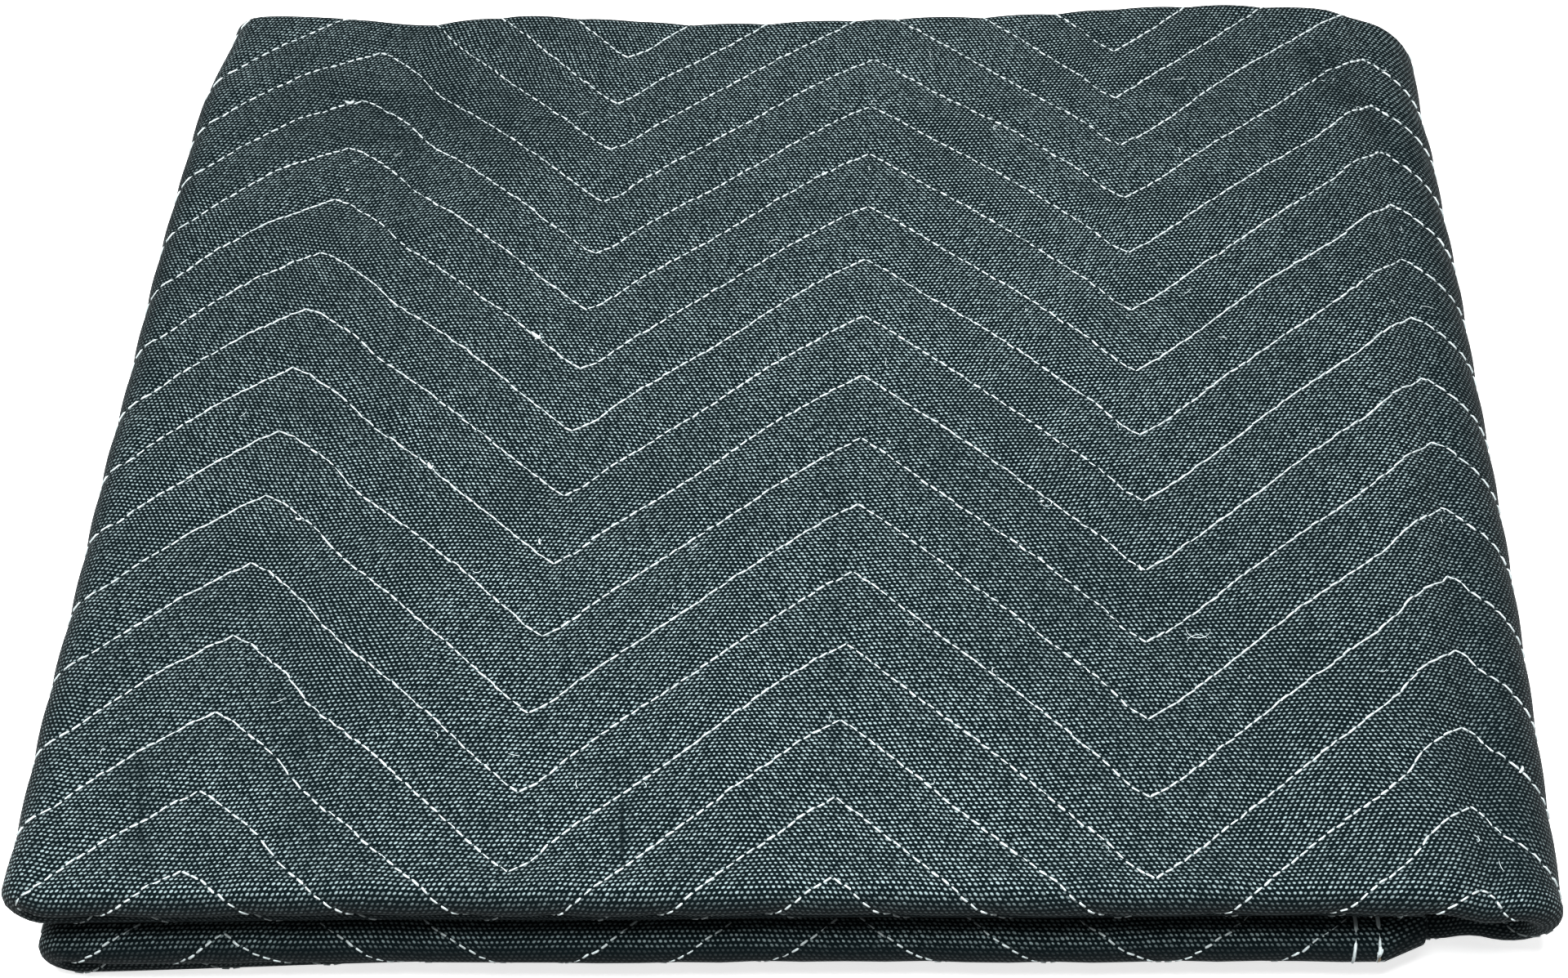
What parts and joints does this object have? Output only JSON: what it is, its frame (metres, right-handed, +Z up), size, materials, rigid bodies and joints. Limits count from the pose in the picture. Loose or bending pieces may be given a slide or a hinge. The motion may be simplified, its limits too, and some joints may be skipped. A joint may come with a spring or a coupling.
{
  "type": "moving blanket",
  "caption": "Quilted moving blanket folded into a flat rectangular pad, with rounded folds in front and zigzag seams on its woven face, for wrapping and padding furniture.",
  "frame": {"origin": "middle of the folded blanket's box, on the ground", "axes": "+X along the long side, with the wide wrapping fold at +X and two side folds at -X; -Y toward the rounded front folds; +Z up"},
  "size_m": [0.5232, 0.4582, 0.0573],
  "materials": {
    "fabric": "matte coarse weave"
  },
  "bodies": {
    "root": {"folded_blanket": "fabric"}
  },
  "joints": []
}
